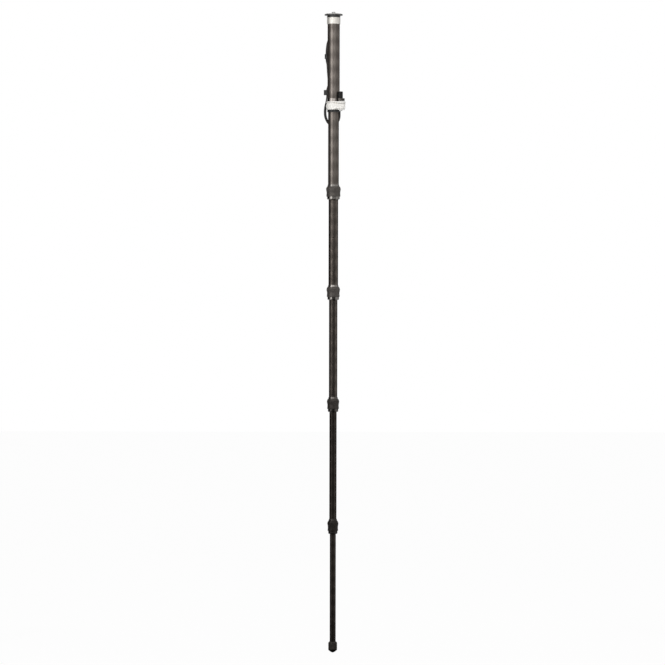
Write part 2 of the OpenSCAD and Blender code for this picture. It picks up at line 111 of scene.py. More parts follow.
# Smooth curve through points: on each span the cubic through its two ends, whose slope at a point
# is half the chord between that point's neighbours
def smoothPath(points, perSpan):
    padded = np.vstack([2 * points[0] - points[1], points, 2 * points[-1] - points[-2]])
    before, start, end, after = (padded[k:len(padded) - 3 + k, None, :] for k in range(4))
    share = np.linspace(0, 1, perSpan, endpoint=False)[None, :, None]
    cubic = share * (3 * (start - end) + after - before)
    bend = share * (2 * before - 5 * start + 4 * end - after + cubic)
    spans = start + 0.5 * share * (end - before + bend)
    return np.vstack([spans.reshape(-1, 3), points[-1]])


# Wrist strap: a braided cord from the upper eye, through the bead and the clip,
# round behind the second tube and up to the lower eye
wristStrap = {
    "diameter": 0.006,
    "ringTop": -9.4,       # millimetres, heights of the upper points count from here
    "ferruleTop": -220.5,  # millimetres, heights of the lower points count from here
    "upperRoute": [        # millimetres
        (0, 21.5, -15), (0, 21.5, -25), (-2.5, 21, -35), (-7, 19.5, -45), (-11.5, 17.5, -55),
        (-14.8, 15, -64), (-16.5, 13.5, -73), (-17.6, 12.5, -83), (-18, 12.2, -92), (-18, 12.2, -100.5),
        (-18, 12.2, -108), (-17.2, 12.9, -113.5), (-15.7, 14.2, -121),
    ],
    "bridgeShares": [0.25, 0.5, 0.75],  # points between the two routes, as shares of the way
    "lowerRoute": [        # millimetres
        (-12.2, 17, 42.5), (-12.8, 16.6, 36), (-14.6, 15.2, 29.8), (-16, 14, 23.8), (-16, 14, 16.8),
        (-16, 14, 7.5), (-17.6, 14.6, -4.5), (-19.4, 13.6, -13), (-21.2, 12, -22), (-21.8, 11, -31),
        (-21.8, 11, -39), (-20.6, 12.4, -47.1), (-18, 14.8, -54), (-14.5, 18.2, -59.8),
        (-9.5, 21.3, -64.3), (-3.5, 23.2, -66), (2.5, 23.2, -65.2), (8, 22, -61.5), (12.2, 19.8, -55.5),
        (14.5, 18.2, -48.5), (15, 17.8, -41), (15, 17.8, -33), (15, 17.8, -25), (15, 17.8, -16.5),
        (15, 17.8, -7.5),
    ],
    "perSpan": 14,         # rings between two points
    "sides": 48,
    "strands": 8,          # strands laid each way
    "braidPitch": 0.0052,  # length of one diamond of the braid
    "relief": 0.00016,     # depth of the braid
    "loopSwell": 0.13,     # how much fuller the cord is where it hangs free below the clamp
    "swellFrom": -0.2305,  # height where it starts to fill out
    "swellOver": 0.02,
}


# Route in metres, with a straight bridge behind the upper tube
def strapPath(plan):
    upper = np.array(plan["upperRoute"]) + [0, 0, plan["ringTop"]]
    lower = np.array(plan["lowerRoute"]) + [0, 0, plan["ferruleTop"]]
    share = np.array(plan["bridgeShares"])[:, None]
    bridge = (1 - share) * upper[-1] + share * lower[0]
    return smoothPath(np.vstack([upper, bridge, lower]) / 1000, plan["perSpan"])


# Braided tube: each ring stands square to the path, and its radius is the cord's radius
# less a relief that follows the product of two cosines, one for each lay of the strands
def makeStrap(plan):
    path = strapPath(plan)
    steps = np.linalg.norm(np.diff(path, axis=0), axis=1)
    along = np.concatenate([[0], np.cumsum(steps)])
    tangent = np.gradient(path, along, axis=0)
    tangent[[0, -1], :2] = 0
    tangent /= np.linalg.norm(tangent, axis=1, keepdims=True)
    across = np.array([0, 1, 0]) - tangent[:, 1:2] * tangent
    across /= np.linalg.norm(across, axis=1, keepdims=True)
    side = np.cross(tangent, across)
    angle = np.linspace(0, fullTurn, plan["sides"], endpoint=False)
    lay = plan["strands"] * angle[None, :]
    travel = fullTurn * along[:, None] / plan["braidPitch"]
    crown = 0.5 + 0.5 * np.cos((lay + travel) / 2) * np.cos((lay - travel) / 2)
    hanging = np.clip((plan["swellFrom"] - path[:, 2]) / plan["swellOver"], 0, 1)[:, None]
    radius = plan["diameter"] / 2 * (1 + plan["loopSwell"] * hanging) - plan["relief"] * (1 - crown)
    points = (path[:, None, :]
              + radius[..., None] * np.cos(angle)[None, :, None] * across[:, None, :]
              + radius[..., None] * np.sin(angle)[None, :, None] * side[:, None, :])
    ends = np.array([path[0], path[-1]])
    strap = meshObject("wristStrapCord", np.vstack([points.reshape(-1, 3), ends]),
                       ringFaces(len(path), plan["sides"]))
    lane = strap.data.attributes.new("braidCrown", "FLOAT", "POINT")
    lane.data.foreach_set("value", np.append(crown, np.zeros(len(ends))).astype(np.float32))
    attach(strap, "upper_section")
    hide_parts("wrist_strap")
    print("strap: length", round(float(along[-1]), 4), "m")
    return strap


strapPiece = makeStrap(wristStrap)


# Camera screw: coarse thread above the plate, plain shank in it, finer thread on the lower end,
# and a slot across the top
cameraScrew = {
    "top": 0.005,
    "thread": {"bottom": -0.0003, "radius": 0.0047625, "depth": 0.00085, "pitch": 0.0015875},
    "tail": {"bottom": -0.014, "radius": 0.003175, "depth": 0.00065, "pitch": 0.00127},
    "rootShare": 0.25,     # flat part of a thread's root
    "crestShare": 0.125,   # flat part of its crest
    "shankBottom": -0.006,
    "shankRadius": 0.0045125,
    "chamfer": 0.0006,
    "slotWidth": 0.0014,
    "slotDepth": 0.0015,
    "rings": 90,           # on each thread
    "sides": 72,
    "sharpFrom": 35,       # degrees between faces that meet in a sharp edge
}


# Thread: the radius is the root's plus the depth times a wave of height over pitch less turns, which
# has flat roots, flat crests and straight flanks, and it is cut back by a bevel at the thread's end
def threadRadius(height, angle, thread, end, plan):
    turns = height / thread["pitch"] - angle / fullTurn
    wave = np.abs(2 * (turns % 1) - 1)
    flank = np.clip((wave - plan["rootShare"]) / (1 - plan["rootShare"] - plan["crestShare"]), 0, 1)
    bevel = np.clip(plan["chamfer"] - np.abs(height - end), 0, None)
    return thread["radius"] - np.maximum(thread["depth"] * (1 - flank), bevel)


# Slot: a box as wide as the slot and longer than the screw is thick, taken out of its top
def cutSlot(screw, plan):
    reach = 2 * plan["thread"]["radius"]
    sizes = np.array([reach, plan["slotWidth"] / 2, plan["slotDepth"]])
    corners = np.array([(x, y, z) for z in (-1, 1) for y in (-1, 1) for x in (-1, 1)])
    faces = [(0, 2, 3, 1), (4, 5, 7, 6), (0, 1, 5, 4), (2, 6, 7, 3), (0, 4, 6, 2), (1, 3, 7, 5)]
    box = meshObject("slotBox", corners * sizes + [0, 0, plan["top"]], faces)
    slot = screw.modifiers.new("slot", "BOOLEAN")
    slot.operation = "DIFFERENCE"
    slot.solver = "EXACT"
    slot.object = box
    cut = screw.evaluated_get(bpy.context.evaluated_depsgraph_get())
    mesh = bpy.data.meshes.new_from_object(cut)
    screw.modifiers.clear()
    screw.data = mesh
    bpy.data.objects.remove(box)


# Closed screw: rings of points up the axis, with the radius of the part that each ring is on
def makeScrew(plan):
    angle = np.linspace(0, fullTurn, plan["sides"], endpoint=False)[None, :]
    thread = plan["thread"]
    tail = plan["tail"]
    tailHeight = np.linspace(tail["bottom"], plan["shankBottom"], plan["rings"])[:, None]
    shankHeight = np.array([plan["shankBottom"], thread["bottom"]])[:, None]
    headHeight = np.linspace(thread["bottom"], plan["top"], plan["rings"])[:, None]
    height = np.vstack([tailHeight, shankHeight, headHeight])
    radius = np.vstack([threadRadius(tailHeight, angle, tail, tail["bottom"], plan),
                        np.full((len(shankHeight), plan["sides"]), plan["shankRadius"]),
                        threadRadius(headHeight, angle, thread, plan["top"], plan)])
    points = np.stack([radius * np.cos(angle), radius * np.sin(angle), height + 0 * radius], axis=-1)
    ends = np.array([[0, 0, tail["bottom"]], [0, 0, plan["top"]]])
    screw = meshObject("cameraScrewThread", np.vstack([points.reshape(-1, 3), ends]),
                       ringFaces(len(height), plan["sides"]))
    cutSlot(screw, plan)
    screw.data.set_sharp_from_angle(angle=math.radians(plan["sharpFrom"]))
    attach(screw, "upper_section")
    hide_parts("camera_stud")
    print("screw:", len(screw.data.polygons), "faces")
    return screw


screwPiece = makeScrew(cameraScrew)


# Shader helpers
def newMaterial(name):
    material = bpy.data.materials.new(name)
    material.use_nodes = True
    tree = material.node_tree
    return material, tree, tree.nodes["Principled BSDF"]


# Inputs of a node, each linked to another node's output or set to a plain value
def setInputs(tree, node, values):
    for label, value in values.items():
        if isinstance(value, bpy.types.NodeSocket):
            tree.links.new(value, node.inputs[label])
        else:
            node.inputs[label].default_value = value


def newGroup(name, inputs, outputs):
    group = bpy.data.node_groups.new(name, "ShaderNodeTree")
    for label in inputs:
        group.interface.new_socket(label, in_out="INPUT", socket_type="NodeSocketFloat")
    for label in outputs:
        group.interface.new_socket(label, in_out="OUTPUT", socket_type="NodeSocketFloat")
    source = group.nodes.new("NodeGroupInput")
    target = group.nodes.new("NodeGroupOutput")
    return group, source.outputs, target


def addGroup(tree, group, values):
    node = tree.nodes.new("ShaderNodeGroup")
    node.node_tree = group
    setInputs(tree, node, values)
    return node.outputs


# One maths node, whose inputs are sockets or plain numbers
def calc(tree, operation, *inputs):
    node = tree.nodes.new("ShaderNodeMath")
    node.operation = operation
    setInputs(tree, node, dict(enumerate(inputs)))
    return node.outputs[0]


# Sum of sockets, each times its own share
def weighted(tree, *terms):
    total = 0.0
    for socket, share in terms:
        total = calc(tree, "MULTIPLY_ADD", socket, share, total)
    return total


# Value carried in a straight line from one range to another
def spread(tree, value, fromLow, fromHigh, toLow=0.0, toHigh=1.0):
    node = tree.nodes.new("ShaderNodeMapRange")
    setInputs(tree, node, {"Value": value, "From Min": fromLow, "From Max": fromHigh,
                           "To Min": toLow, "To Max": toHigh})
    return node.outputs["Result"]


# Wave from -1 to 1 carried to 0 to 1
def waveShare(tree, wave):
    return calc(tree, "MULTIPLY_ADD", wave, 0.5, 0.5)


def noise(tree, vector, scale, detail, roughness=0.55):
    node = tree.nodes.new("ShaderNodeTexNoise")
    setInputs(tree, node, {"Vector": vector, "Scale": scale, "Detail": detail, "Roughness": roughness})
    return node.outputs["Fac"]


def objectPlace(tree):
    return tree.nodes.new("ShaderNodeTexCoord").outputs["Object"]


def objectParts(tree):
    node = tree.nodes.new("ShaderNodeSeparateXYZ")
    setInputs(tree, node, {"Vector": objectPlace(tree)})
    return node.outputs


# Colour between two colours by a mask
def blendColour(tree, mask, dark, light):
    node = tree.nodes.new("ShaderNodeMix")
    node.data_type = "RGBA"
    ends = [(*colour, 1) if isinstance(colour, tuple) else colour for colour in (dark, light)]
    setInputs(tree, node, {"Factor": mask, "A": ends[0], "B": ends[1]})
    return node.outputs["Result"]


def bumpNormal(tree, height, strength, distance):
    node = tree.nodes.new("ShaderNodeBump")
    setInputs(tree, node, {"Height": height, "Strength": strength, "Distance": distance})
    return node.outputs["Normal"]


# Effects that several finishes share
noiseRange = (0.3, 0.7)  # levels that most of a noise lies between
fineDetail = 2.0         # octaves of a fine noise


# Grain: fine noise and broad noise, both from 0 to 1
grainPlan = {"broadDetail": 4.0}


def makeGrain(plan):
    group, source, target = newGroup("finishGrain", ["Fine", "Broad"], ["Fine", "Broad"])
    place = objectPlace(group)
    broad = noise(group, place, source["Broad"], plan["broadDetail"])
    setInputs(group, target, {
        "Fine": noise(group, place, source["Fine"], fineDetail),
        "Broad": spread(group, broad, *noiseRange),
    })
    return group


# Handling: smudges from noise drawn out along the pole, and small scuffs from fine noise
handlingPlan = {
    "stretch": (1, 1, 0.35),
    "smudgeDetail": 5.0,
    "smudgeRoughness": 0.6,
    "smudgeFrom": 0.75,     # noise level where smudges start with no cover
    "coverDrop": 0.5,       # how far that level falls with full cover
    "smudgeFull": 0.85,
    "scuffScale": 25.0,     # times finer than the smudges
    "scuffRange": (0.62, 0.75),
}


def makeHandling(plan):
    group, source, target = newGroup("handlingMarks", ["Scale", "Cover"], ["Smudge", "Scuff"])
    place = objectPlace(group)
    stretch = group.nodes.new("ShaderNodeMapping")
    setInputs(group, stretch, {"Vector": place, "Scale": plan["stretch"]})
    smudge = noise(group, stretch.outputs["Vector"], source["Scale"], plan["smudgeDetail"],
                   plan["smudgeRoughness"])
    drop = calc(group, "MULTIPLY", source["Cover"], plan["coverDrop"])
    start = calc(group, "SUBTRACT", plan["smudgeFrom"], drop)
    scuff = noise(group, place, calc(group, "MULTIPLY", source["Scale"], plan["scuffScale"]), fineDetail)
    setInputs(group, target, {
        "Smudge": spread(group, smudge, start, plan["smudgeFull"]),
        "Scuff": spread(group, scuff, *plan["scuffRange"]),
    })
    return group


# Turned lines: fine rings round the pole's axis, from noise that changes with height alone
def makeTurning():
    group, source, target = newGroup("turnedLines", ["Lines"], ["Line"])
    level = group.nodes.new("ShaderNodeCombineXYZ")
    setInputs(group, level, {"Z": objectParts(group)["Z"]})
    setInputs(group, target, {"Line": noise(group, level.outputs["Vector"], source["Lines"], fineDetail)})
    return group


# Wound carbon: two crossed families of tows, on phases of height over pitch plus or minus turns round
# the tube. The upper tow changes over where the product of the two sines changes sign, and the fibres
# of a tow are noise on the sine and cosine of its phase, drawn out along the tow
woundPlan = {
    "families": [(1.0, 0.0), (-1.0, 37.0)],  # hand of the winding, and where its noise starts
    "alongScale": 0.10,     # noise along a tow against that across it
    "towShift": 17.3,       # noise between one tow and the next
    "fibreScale": 3.5,
    "fibreDetail": 4.0,
    "fibreRoughness": 0.65,
    "layEdge": 0.06,        # product at which one tow is fully on top
    "wraps": 400.0,         # ridges of the wrapping to the metre
}


def makeWoundCarbon(plan):
    group, source, target = newGroup("woundCarbon", ["Pitch", "Starts"], ["Lay", "Weave", "Fibre", "Wrap"])
    parts = objectParts(group)
    turn = calc(group, "ARCTAN2", parts["Y"], parts["X"])
    rise = calc(group, "MULTIPLY", calc(group, "DIVIDE", parts["Z"], source["Pitch"]), fullTurn)
    around = calc(group, "MULTIPLY", turn, source["Starts"])
    lays = []
    streaks = []
    for hand, shift in plan["families"]:
        phase = calc(group, "ADD", rise, calc(group, "MULTIPLY", around, hand))
        lays.append(calc(group, "SINE", phase))
        count = calc(group, "FLOOR", calc(group, "DIVIDE", phase, fullTurn))
        tow = calc(group, "FLOORED_MODULO", count, source["Starts"])
        along = calc(group, "MULTIPLY_ADD", rise, plan["alongScale"], shift)
        fibre = group.nodes.new("ShaderNodeCombineXYZ")
        setInputs(group, fibre, {
            "X": lays[-1],
            "Y": calc(group, "COSINE", phase),
            "Z": calc(group, "MULTIPLY_ADD", tow, plan["towShift"], along),
        })
        streaks.append(noise(group, fibre.outputs["Vector"], plan["fibreScale"], plan["fibreDetail"],
                             plan["fibreRoughness"]))
    product = calc(group, "MULTIPLY", *lays)
    lay = spread(group, product, -plan["layEdge"], plan["layEdge"])
    pick = group.nodes.new("ShaderNodeMix")
    setInputs(group, pick, {"Factor": lay, "A": streaks[0], "B": streaks[1]})
    ridge = calc(group, "SINE", calc(group, "MULTIPLY", parts["Z"], fullTurn * plan["wraps"]))
    setInputs(group, target, {
        "Lay": lay,
        "Weave": waveShare(group, product),
        "Fibre": spread(group, pick.outputs["Result"], *noiseRange),
        "Wrap": waveShare(group, ridge),
    })
    return group


# Rim: 1 beyond a radius from the pole's axis and above a height, with edges as soft as asked
def makeRim():
    group, source, target = newGroup("rimMask", ["Radius", "Above", "Soft"], ["Mask"])
    parts = objectParts(group)
    squares = [calc(group, "POWER", parts[axis], 2.0) for axis in ("X", "Y")]
    reach = calc(group, "SQRT", calc(group, "ADD", *squares))
    masks = []
    for value, limit in ((reach, "Radius"), (parts["Z"], "Above")):
        past = calc(group, "SUBTRACT", value, source[limit])
        masks.append(spread(group, calc(group, "DIVIDE", past, source["Soft"]), -0.5, 0.5))
    setInputs(group, target, {"Mask": calc(group, "MULTIPLY", *masks)})
    return group


grain = makeGrain(grainPlan)
handling = makeHandling(handlingPlan)
rimMask = makeRim()
turning = makeTurning()
woundCarbon = makeWoundCarbon(woundPlan)


# Carbon tube, satin, with one lay of tows lighter than the other
# Colours darker from tube to tube down the pole: painted shade for the light falling off towards the foot
carbonFinish = {
    "first": {"dark": (0.063, 0.055, 0.049), "light": (0.170, 0.150, 0.135),
              "pitch": 0.072, "starts": 5.0, "rough": 0.46},
    "second": {"dark": (0.060, 0.052, 0.046), "light": (0.160, 0.140, 0.125),
               "pitch": 0.072, "starts": 5.0, "rough": 0.44},
    "middle": {"dark": (0.034, 0.029, 0.025), "light": (0.116, 0.099, 0.086),
               "pitch": 0.060, "starts": 4.0, "rough": 0.38},
    "lower": {"dark": (0.014, 0.012, 0.010), "light": (0.052, 0.044, 0.038),
              "pitch": 0.060, "starts": 3.0, "rough": 0.46},
}
carbonSurface = {
    "marks": {"Scale": 22.0, "Cover": 0.45},
    "weaveShare": 0.33,      # shares of the tone
    "layShare": 0.22,
    "fibreShare": 0.45,
    "metallic": 0.85,
    "tint": (0.30, 0.27, 0.25, 1),
    "smudgeRough": 0.10,
    "weaveRough": -0.12,
    "wrapHeight": 0.3,       # against the height of the fibres
    "bump": (0.2, 0.00005),  # strength, and height in metres
}


def makeCarbon(name, look, surface):
    material, tree, shader = newMaterial(name)
    wound = addGroup(tree, woundCarbon, {"Pitch": look["pitch"], "Starts": look["starts"]})
    marks = addGroup(tree, handling, surface["marks"])
    tone = weighted(tree, (wound["Weave"], surface["weaveShare"]), (wound["Lay"], surface["layShare"]),
                    (wound["Fibre"], surface["fibreShare"]))
    smudged = calc(tree, "MULTIPLY_ADD", marks["Smudge"], surface["smudgeRough"], look["rough"])
    height = calc(tree, "MULTIPLY_ADD", wound["Wrap"], surface["wrapHeight"], wound["Fibre"])
    setInputs(tree, shader, {
        "Base Color": blendColour(tree, tone, look["dark"], look["light"]),
        "Metallic": surface["metallic"],
        "Specular Tint": surface["tint"],
        "Roughness": calc(tree, "MULTIPLY_ADD", wound["Weave"], surface["weaveRough"], smudged),
        "Normal": bumpNormal(tree, height, *surface["bump"]),
    })
    return material


# Bright metal with a fine grain: more metallic on the ring, paler and duller on the clamp
brightFinish = {
    "brushedBright": {"dark": (0.66, 0.633, 0.590), "light": (0.72, 0.694, 0.646),
                      "metallic": 0.62, "rough": 0.54},
    "blastedBright": {"dark": (0.86, 0.84, 0.80), "light": (0.91, 0.89, 0.85),
                      "metallic": 0.05, "rough": 0.60},
}
brightSurface = {
    "grain": {"Fine": 2600.0, "Broad": 55.0},
    "marks": {"Scale": 45.0, "Cover": 0.4},
    "smudgeRough": 0.10,
    "bump": (0.12, 0.00004),
}


def makeBright(name, look, surface):
    material, tree, shader = newMaterial(name)
    grains = addGroup(tree, grain, surface["grain"])
    marks = addGroup(tree, handling, surface["marks"])
    setInputs(tree, shader, {
        "Base Color": blendColour(tree, grains["Broad"], look["dark"], look["light"]),
        "Metallic": look["metallic"],
        "Roughness": calc(tree, "MULTIPLY_ADD", marks["Smudge"], surface["smudgeRough"], look["rough"]),
        "Normal": bumpNormal(tree, grains["Fine"], *surface["bump"]),
    })
    return material


# Dark turned metal with faint lines: polished on the upper locks, duller on the lower two and darker there
# as painted shade, a little lighter on the ferrule, and painted black on the plate
darkFinish = {
    "lockMetal": {"dark": (0.150, 0.140, 0.130), "light": (0.230, 0.217, 0.204),
                  "metallic": 1.0, "rough": 0.24},
    # midMetal and lowMetal: darker colours for the lower locks, as painted shade
    "midMetal": {"dark": (0.075, 0.069, 0.063), "light": (0.115, 0.107, 0.100),
                 "metallic": 1.0, "rough": 0.28},
    "lowMetal": {"dark": (0.030, 0.027, 0.025), "light": (0.055, 0.050, 0.046),
                 "metallic": 1.0, "rough": 0.38},
    "gunMetal": {"dark": (0.170, 0.155, 0.143), "light": (0.260, 0.240, 0.225),
                 "metallic": 1.0, "rough": 0.26},
    "plateBlack": {"dark": (0.020, 0.019, 0.018), "light": (0.045, 0.042, 0.040),
                   "metallic": 0.0, "rough": 0.34},
}
darkSurface = {
    "lines": {"Lines": 2600.0},
    "marks": {"Scale": 60.0, "Cover": 0.4},
    "lineShare": 0.65,   # shares of the tone
    "scuffShare": 0.35,
    "smudgeRough": 0.12,
    "bump": (0.10, 0.00004),
}


def makeDark(name, look, surface):
    material, tree, shader = newMaterial(name)
    lines = addGroup(tree, turning, surface["lines"])
    marks = addGroup(tree, handling, surface["marks"])
    tone = weighted(tree, (lines["Line"], surface["lineShare"]), (marks["Scuff"], surface["scuffShare"]))
    setInputs(tree, shader, {
        "Base Color": blendColour(tree, tone, look["dark"], look["light"]),
        "Metallic": look["metallic"],
        "Roughness": calc(tree, "MULTIPLY_ADD", marks["Smudge"], surface["smudgeRough"], look["rough"]),
        "Normal": bumpNormal(tree, lines["Line"], *surface["bump"]),
    })
    return material


# Black moulded plastic with a fine spark-eroded grain, deeper black on the thumb nut
plasticFinish = {
    "mouldedBlack": {"dark": (0.012, 0.012, 0.012), "light": (0.036, 0.035, 0.034), "shine": 0.40},
    "nutBlack": {"dark": (0.005, 0.005, 0.005), "light": (0.014, 0.013, 0.013), "shine": 0.18},
}
plasticSurface = {
    "grain": {"Fine": 1900.0, "Broad": 70.0},
    "marks": {"Scale": 70.0, "Cover": 0.45},
    "cloudShare": 0.6,   # shares of the tone
    "scuffShare": 0.4,
    "rough": (0.40, 0.58),
    "bump": (0.3, 0.00008),
}


def makePlastic(name, look, surface):
    material, tree, shader = newMaterial(name)
    grains = addGroup(tree, grain, surface["grain"])
    marks = addGroup(tree, handling, surface["marks"])
    tone = weighted(tree, (grains["Broad"], surface["cloudShare"]), (marks["Scuff"], surface["scuffShare"]))
    setInputs(tree, shader, {
        "Base Color": blendColour(tree, tone, look["dark"], look["light"]),
        "Roughness": spread(tree, grains["Fine"], *noiseRange, *surface["rough"]),
        "Specular IOR Level": look["shine"],
        "Normal": bumpNormal(tree, grains["Fine"], *surface["bump"]),
    })
    return material


# Rubber with a slight shine and a dusty bloom, darker on the lower two grips as painted shade
rubberFinish = {
    "gripRubber": {"dark": (0.024, 0.021, 0.019), "light": (0.070, 0.062, 0.057), "shine": 0.70},
    # midRubber and lowRubber: darker colours for the lower grips, as painted shade
    "midRubber": {"dark": (0.012, 0.010, 0.009), "light": (0.035, 0.031, 0.027), "shine": 0.45},
    "lowRubber": {"dark": (0.009, 0.008, 0.007), "light": (0.028, 0.025, 0.022), "shine": 0.22},
    "footRubber": {"dark": (0.022, 0.019, 0.017), "light": (0.066, 0.057, 0.051), "shine": 0.25},
}
rubberSurface = {
    "grain": {"Fine": 1400.0, "Broad": 160.0},
    "marks": {"Scale": 80.0, "Cover": 0.6},
    "cloudShare": 0.6,   # shares of the tone
    "bloomShare": 0.4,
    "rough": (0.46, 0.62),
    "tint": (1.0, 0.92, 0.85, 1),
    "bump": (0.35, 0.00010),
}


def makeRubber(name, look, surface):
    material, tree, shader = newMaterial(name)
    grains = addGroup(tree, grain, surface["grain"])
    marks = addGroup(tree, handling, surface["marks"])
    tone = weighted(tree, (grains["Broad"], surface["cloudShare"]), (marks["Smudge"], surface["bloomShare"]))
    setInputs(tree, shader, {
        "Base Color": blendColour(tree, tone, look["dark"], look["light"]),
        "Roughness": spread(tree, grains["Fine"], *noiseRange, *surface["rough"]),
        "Specular IOR Level": look["shine"],
        "Specular Tint": surface["tint"],
        "Normal": bumpNormal(tree, grains["Fine"], *surface["bump"]),
    })
    return material


# Bright turned steel
steelFinish = {
    "dark": (0.52, 0.51, 0.50),
    "light": (0.68, 0.67, 0.66),
    "lines": {"Lines": 3200.0},
    "marks": {"Scale": 90.0, "Cover": 0.4},
    "rough": 0.46,
    "smudgeRough": 0.15,
    "bump": (0.15, 0.00004),
}


def makeSteel(look):
    material, tree, shader = newMaterial("turnedSteel")
    lines = addGroup(tree, turning, look["lines"])
    marks = addGroup(tree, handling, look["marks"])
    setInputs(tree, shader, {
        "Base Color": blendColour(tree, lines["Line"], look["dark"], look["light"]),
        "Metallic": 1.0,
        "Roughness": calc(tree, "MULTIPLY_ADD", marks["Smudge"], look["smudgeRough"], look["rough"]),
        "Normal": bumpNormal(tree, lines["Line"], *look["bump"]),
    })
    return material


# Braided cord: strands lighter on their crowns and darker between them as painted shade, with fine fibres
# and a soft sheen
strapFinish = {
    "dark": (0.014, 0.014, 0.014),
    "light": (0.075, 0.074, 0.073),
    "grain": {"Fine": 3000.0, "Broad": 150.0},
    "crownPower": 1.5,
    "crownShare": 0.65,   # shares of the tone
    "fibreShare": 0.35,
    "rough": (0.70, 0.85),
    "shine": 0.25,
    "sheen": 0.25,
    "bump": (0.4, 0.00008),
}


def makeStrapCloth(look):
    material, tree, shader = newMaterial("braidedStrap")
    lane = tree.nodes.new("ShaderNodeAttribute")
    lane.attribute_name = "braidCrown"
    grains = addGroup(tree, grain, look["grain"])
    # Painted shade: darker between the strands, lighter on their crowns
    crown = calc(tree, "POWER", lane.outputs["Fac"], look["crownPower"])
    tone = weighted(tree, (crown, look["crownShare"]), (grains["Fine"], look["fibreShare"]))
    setInputs(tree, shader, {
        "Base Color": blendColour(tree, tone, look["dark"], look["light"]),
        "Roughness": spread(tree, grains["Broad"], 0.0, 1.0, *look["rough"]),
        "Specular IOR Level": look["shine"],
        "Sheen Weight": look["sheen"],
        "Normal": bumpNormal(tree, grains["Fine"], *look["bump"]),
    })
    return material


# Painted highlight on the plate's upper edge for the light its chamfer catches, the ferrule's ear, left
# black, and painted shade on the nose of the foot, darker below the height given where it faces down
plateEdgeHighlight = {"radius": 0.0225, "above": -0.00145, "soft": 0.0001, "colour": (0.70, 0.69, 0.67)}
ferruleEar = {"radius": 0.0177, "above": -1.0, "soft": 0.0001, "colour": (0.050, 0.046, 0.042)}
footNoseShade = {"radius": -1.0, "above": -1.6517, "soft": 0.004, "colour": (0.003, 0.003, 0.003)}


# Other colour beyond a radius and above a height, or everywhere else
def recolourRim(material, plan, elsewhere=False):
    tree = material.node_tree
    shader = tree.nodes["Principled BSDF"]
    inner = shader.inputs["Base Color"].links[0].from_socket
    rim = addGroup(tree, rimMask, {"Radius": plan["radius"], "Above": plan["above"], "Soft": plan["soft"]})
    colours = (plan["colour"], inner) if elsewhere else (inner, plan["colour"])
    setInputs(tree, shader, {"Base Color": blendColour(tree, rim["Mask"], *colours)})


carbons = {name: makeCarbon(name + "Carbon", look, carbonSurface) for name, look in carbonFinish.items()}
brights = {name: makeBright(name, look, brightSurface) for name, look in brightFinish.items()}
darks = {name: makeDark(name, look, darkSurface) for name, look in darkFinish.items()}
rubbers = {name: makeRubber(name, look, rubberSurface) for name, look in rubberFinish.items()}
plastics = {name: makePlastic(name, look, plasticSurface) for name, look in plasticFinish.items()}
brightSteel = makeSteel(steelFinish)
strapCloth = makeStrapCloth(strapFinish)
# Painted highlight: a pale ring on the plate's upper edge
recolourRim(darks["plateBlack"], plateEdgeHighlight)
recolourRim(darks["gunMetal"], ferruleEar)
# Painted shade: the foot's nose darker below a height, where it faces down
recolourRim(rubbers["footRubber"], footNoseShade, elsewhere=True)

locks = range(1, 5)
slidingTubes = range(2, 7)
finishes = [
    # Carbon colours darken tube by tube down the pole as painted shade
    (carbons["first"], ["upper_tube"]),
    (carbons["second"], ["tube_2"]),
    (carbons["middle"], ["tube_3", "tube_4"]),
    (carbons["lower"], ["tube_5", "tube_6"]),
    (brights["brushedBright"], ["top_ring"]),
    (brights["blastedBright"], ["clamp_band", "clamp_lever"]),
    (darks["gunMetal"], ["clamp_ferrule"]),
    (darks["lockMetal"], ["top_plug", "lock_ferrule_1", "lock_collar_1", "lock_ferrule_2", "lock_collar_2"]),
    # Lower locks in darker metal: painted shade
    (darks["midMetal"], ["lock_ferrule_3", "lock_collar_3"]),
    (darks["lowMetal"], ["lock_ferrule_4", "lock_collar_4", "foot_plug"]),
    (darks["plateBlack"], ["camera_plate"]),
    (plastics["mouldedBlack"], ["strap_eye_upper", "strap_eye_lower", "strap_slider", "strap_clip",
                                "clamp_liner", "clamp_lip"]
     + [f"lock_collet_{lock}" for lock in locks] + [f"guide_shims_{tube}" for tube in slidingTubes]),
    (plastics["nutBlack"], ["thumb_nut"]),
    (rubbers["gripRubber"], ["plate_pad", "lock_grip_1", "lock_grip_2"]
     + [f"lock_seal_{lock}" for lock in locks]),
    # Lower grips in darker rubber: painted shade
    (rubbers["midRubber"], ["lock_grip_3"]),
    (rubbers["lowRubber"], ["lock_grip_4"]),
    (rubbers["footRubber"], ["foot_rubber"]),
    (brightSteel, ["pivot_bolt"]),
]


def paint(piece, material):
    piece.data.materials.clear()
    piece.data.materials.append(material)


for material, names in finishes:
    for name in names:
        paint(nodes[name], material)
paint(strapPiece, strapCloth)
paint(screwPiece, brightSteel)
dressed = {name for material, names in finishes for name in names} | {"wrist_strap", "camera_stud"}
print("finishes: done;", "bare nodes:", sorted(set(nodes) - dressed))


# Stage: pale floor, white surroundings and soft lamps
stagePlan = {
    "floorSize": 40.0,
    "floorColour": 0.65,
    "floorRough": 0.9,
    "floorWhite": 0.975,  # share of the floor's look that is plain white
    "ambient": 0.30,      # light from the surroundings
}
# Lamps without gloss leave no highlights
lampPlan = [
    {"name": "keyLamp", "place": (-1.12, -1.33, -0.05), "aim": (0, 0, -0.1), "size": (0.8, 1.5),
     "power": 13.4, "gloss": True},
    {"name": "frontLamp", "place": (0.02, -1.75, 0.18), "aim": (0, 0, 0.1), "size": (1.4, 0.75),
     "power": 7.2, "gloss": True},
    {"name": "fillLamp", "place": (1.1, -1.55, 0.9), "aim": (0, 0, -0.3), "size": (1.0, 0.8),
     "power": 19, "gloss": False},
    {"name": "backLamp", "place": (0.5, 1.7, 0.9), "aim": (0, 0, -0.3), "size": (1.2, 1.0),
     "power": 14, "gloss": False},
]
